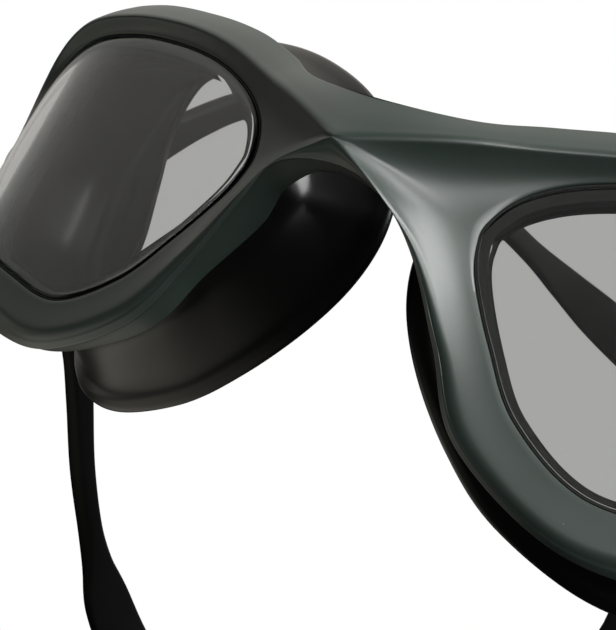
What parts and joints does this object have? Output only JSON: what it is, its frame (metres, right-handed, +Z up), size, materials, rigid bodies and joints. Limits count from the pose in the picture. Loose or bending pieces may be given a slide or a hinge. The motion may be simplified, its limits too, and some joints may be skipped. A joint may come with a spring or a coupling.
{
  "type": "swimming goggles",
  "caption": "Adult swimming goggles with a dark green one-piece front, smoke lenses, soft black eye cups, side clips and a split silicone head strap.",
  "frame": {"origin": "between the two eye centres, on the flat part of the lens faces", "axes": "+X to the wearer's left, +Y back to the wearer, +Z up as worn; the front looks along -Y"},
  "size_m": [0.1564, 0.1712, 0.1199],
  "materials": {
    "frame_green": "soft-touch dark green, fine grain",
    "smoke_lens": "smoke tinted, glossy",
    "seal_rubber": "matt black",
    "retainer_grey": "dark grey, moulded",
    "cup_silicone": "satin black silicone",
    "stud_steel": "stainless",
    "clip_black": "black, moulded",
    "strap_silicone": "matt black silicone"
  },
  "bodies": {
    "front": {"front_frame": "frame_green", "left_lens": "smoke_lens", "right_lens": "smoke_lens", "left_lens_seal": "seal_rubber", "right_lens_seal": "seal_rubber", "left_cup_retainer": "retainer_grey", "right_cup_retainer": "retainer_grey", "left_eye_cup": "cup_silicone", "right_eye_cup": "cup_silicone", "left_pivot_stud": "stud_steel", "right_pivot_stud": "stud_steel", "left_stud_washer": "stud_steel", "right_stud_washer": "stud_steel"},
    "left_clip": {"left_strap_clip": "clip_black", "left_latch_pin": "stud_steel", "head_strap": "strap_silicone"},
    "right_clip": {"right_strap_clip": "clip_black", "right_latch_pin": "stud_steel"},
    "left_latch": {"left_clip_latch": "clip_black"},
    "right_latch": {"right_clip_latch": "clip_black"}
  },
  "joints": [
    {"name": "left_clip_swivel", "type": "hinge", "parent": "front", "child": "left_clip", "pos_m": [0.07, 0.026, 0.002], "axis": [1, 0, 0], "range_deg": [-20, 20]},
    {"name": "right_clip_swivel", "type": "hinge", "parent": "front", "child": "right_clip", "pos_m": [-0.07, 0.026, 0.002], "axis": [1, 0, 0], "range_deg": [-20, 20]},
    {"name": "left_latch_hinge", "type": "hinge", "parent": "left_clip", "child": "left_latch", "pos_m": [0.07595, 0.0316, 0.002], "axis": [0, 0, -1], "range_deg": [0, 95]},
    {"name": "right_latch_hinge", "type": "hinge", "parent": "right_clip", "child": "right_latch", "pos_m": [-0.07595, 0.0316, 0.002], "axis": [0, 0, 1], "range_deg": [0, 95]}
  ],
  "couplings": [
    {"joint": "right_clip_swivel", "follows": "left_clip_swivel", "ratio": 1}
  ]
}
